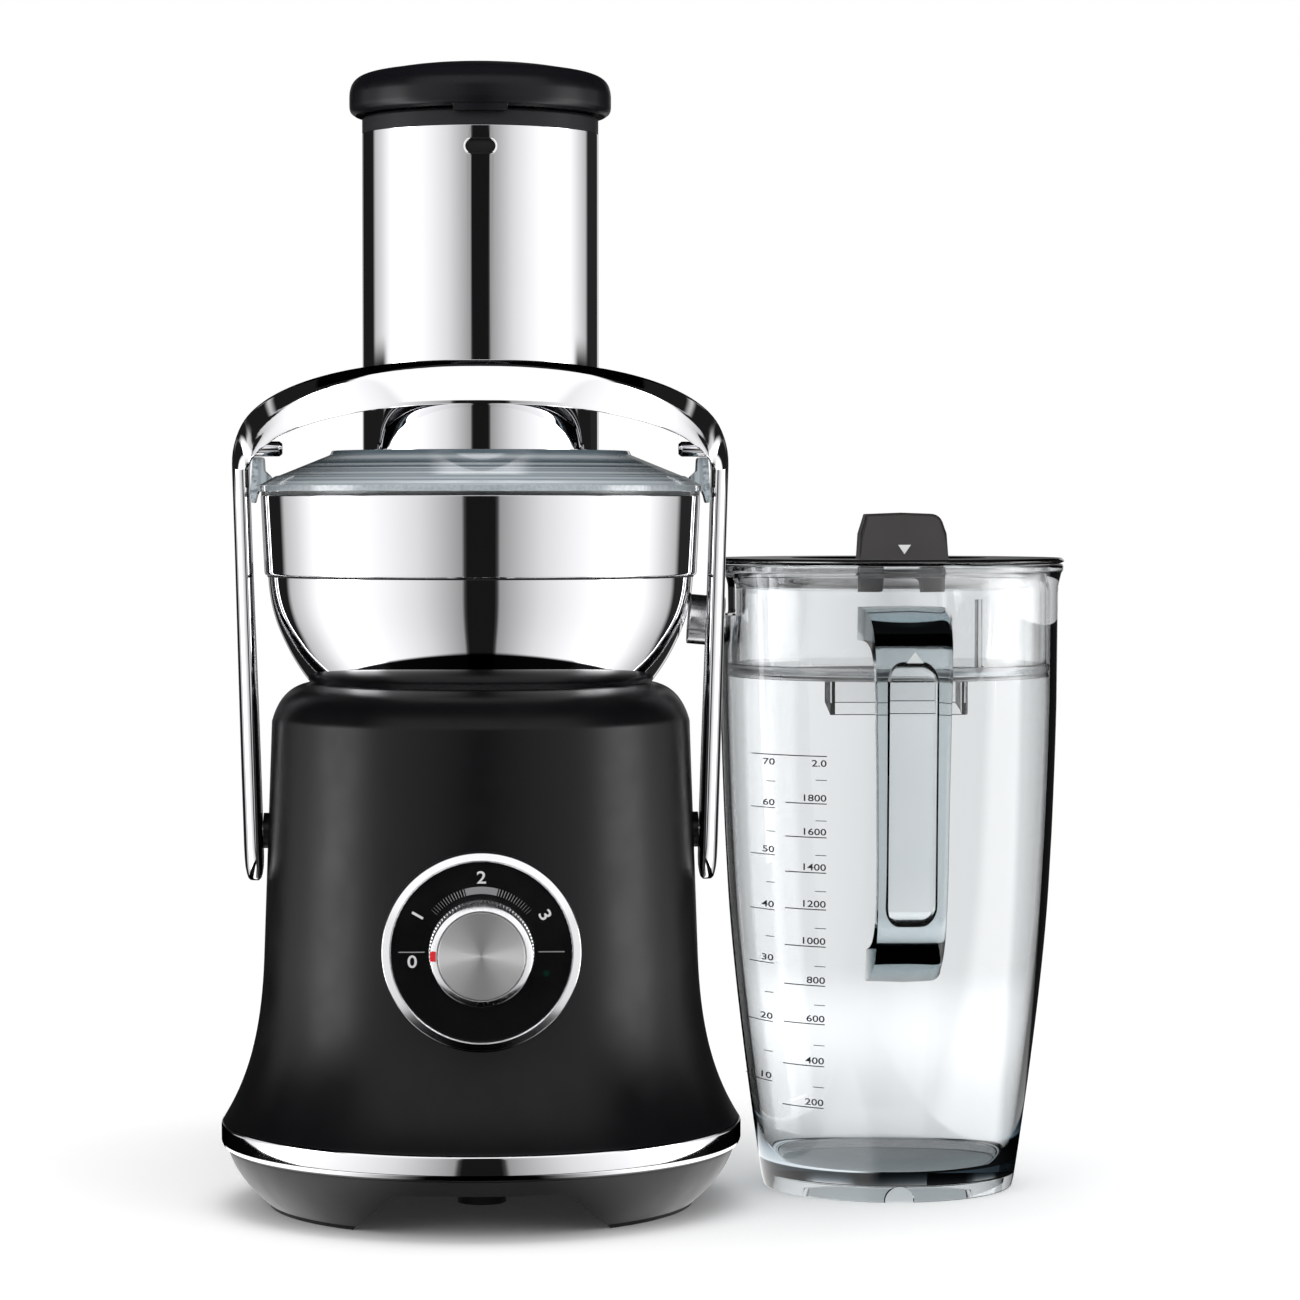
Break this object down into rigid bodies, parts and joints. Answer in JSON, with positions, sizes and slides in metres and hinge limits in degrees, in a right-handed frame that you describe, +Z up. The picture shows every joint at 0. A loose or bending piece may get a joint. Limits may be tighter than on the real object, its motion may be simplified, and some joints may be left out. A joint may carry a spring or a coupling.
{
  "type": "centrifugal juicer",
  "caption": "Centrifugal juicer: flared motor base with speed dial, polished bowl with spinning filter basket, clear cover with wide feed chute, locking arm, juice jug, pulp bin.",
  "frame": {"origin": "on the table under the motor shaft, in the plane of the rubber foot strip", "axes": "+Z up along the motor shaft, +X towards the juice jug, +Y to the back where the pulp container stands"},
  "size_m": [0.3512, 0.341, 0.4659],
  "materials": {
    "housing_black": "matte",
    "trim_polished": "polished",
    "skirt_grey": "satin",
    "rubber_black": "matte",
    "inner_plastic": "matte",
    "screw_steel": "satin",
    "dial_black": "satin",
    "lens_green": "gloss",
    "knob_steel": "brushed",
    "switch_blue": "matte",
    "board_green": "matte",
    "switch_red": "matte",
    "bracket_aluminium": "cast",
    "core_steel": "laminated",
    "copper": "enamelled wire",
    "brush_carbon": "matte",
    "basket_steel": "satin",
    "bowl_polished": "polished",
    "smoky_clear": "clear smoky",
    "seal_clear": "silicone",
    "collar_grey": "satin",
    "cap_black": "satin",
    "arm_chrome": "polished",
    "jug_clear": "clear blue-grey",
    "grip_grey": "satin",
    "bin_smoke": "gloss"
  },
  "bodies": {
    "base": {"motor_housing": "housing_black", "trim_band": "trim_polished", "base_skirt": "skirt_grey", "foot_strip": "rubber_black", "base_plate": "inner_plastic", "base_screws": "screw_steel", "cord_gland": "rubber_black", "dial_bezel": "trim_polished", "dial_face": "dial_black", "indicator_lens": "lens_green", "speed_switch": "switch_blue", "control_board": "board_green", "safety_switch": "switch_red", "pivot_bosses": "dial_black", "pivot_pins": "screw_steel", "shaft_seal": "rubber_black", "upper_bracket": "bracket_aluminium", "lower_bracket": "bracket_aluminium", "motor_mounts": "rubber_black", "stator_bolts": "screw_steel", "bearings": "screw_steel", "stator_core": "core_steel", "field_windings": "copper", "brush_holders": "brush_carbon", "bowl_shell": "bowl_polished", "bowl_band": "bowl_polished", "bowl_liner": "inner_plastic", "outlet_nozzle": "trim_polished", "cover": "smoky_clear", "cover_seal": "seal_clear", "feed_chute": "smoky_clear", "chute_sleeve": "bowl_polished", "chute_collar": "collar_grey"},
    "rotor": {"motor_shaft": "screw_steel", "armature_core": "core_steel", "armature_windings": "copper", "commutator": "copper", "cooling_fan": "inner_plastic", "drive_coupling": "inner_plastic", "basket_hub": "inner_plastic", "grating_disc": "basket_steel", "filter_mesh": "basket_steel", "basket_rim": "basket_steel"},
    "pusher": {"pusher_cap": "cap_black", "pusher_body": "smoky_clear"},
    "locking_arm": {"arm_left": "arm_chrome", "arm_right": "arm_chrome", "arm_handle": "arm_chrome", "locking_pins": "arm_chrome"},
    "dial": {"speed_knob": "knob_steel", "knob_face": "knob_steel", "dial_spindle": "screw_steel"},
    "jug": {"jug_body": "jug_clear", "jug_foot": "jug_clear", "jug_handle": "jug_clear"},
    "separator": {"froth_separator": "jug_clear", "separator_seal": "seal_clear"},
    "lid": {"jug_lid": "jug_clear", "lid_grip": "grip_grey"},
    "container": {"pulp_container": "bin_smoke"}
  },
  "joints": [
    {"name": "rotor_spin", "type": "hinge", "parent": "base", "child": "rotor", "pos_m": [0, 0, 0.2], "axis": [0, 0, 1], "continuous": true},
    {"name": "pusher_slide", "type": "slide", "parent": "base", "child": "pusher", "axis": [0, 0, 1], "range_m": [0, 0.2]},
    {"name": "arm_swing", "type": "hinge", "parent": "base", "child": "locking_arm", "pos_m": [0, 0, 0.1527], "axis": [1, 0, 0], "range_deg": [0, 100]},
    {"name": "dial_turn", "type": "hinge", "parent": "base", "child": "dial", "pos_m": [0, -0.09, 0.112], "axis": [0, 1, 0], "range_deg": [0, 180]},
    {"name": "jug_slide", "type": "slide", "parent": "base", "child": "jug", "axis": [1, 0, 0], "range_m": [0, 0.12]},
    {"name": "separator_lift", "type": "slide", "parent": "jug", "child": "separator", "axis": [0, 0, 1], "range_m": [0, 0.08]},
    {"name": "lid_turn", "type": "hinge", "parent": "separator", "child": "lid", "pos_m": [0.1712, 0.036, 0.262], "axis": [0, 0, 1], "range_deg": [0, 45]},
    {"name": "container_slide", "type": "slide", "parent": "base", "child": "container", "axis": [0, 1, 0], "range_m": [0, 0.16]}
  ]
}
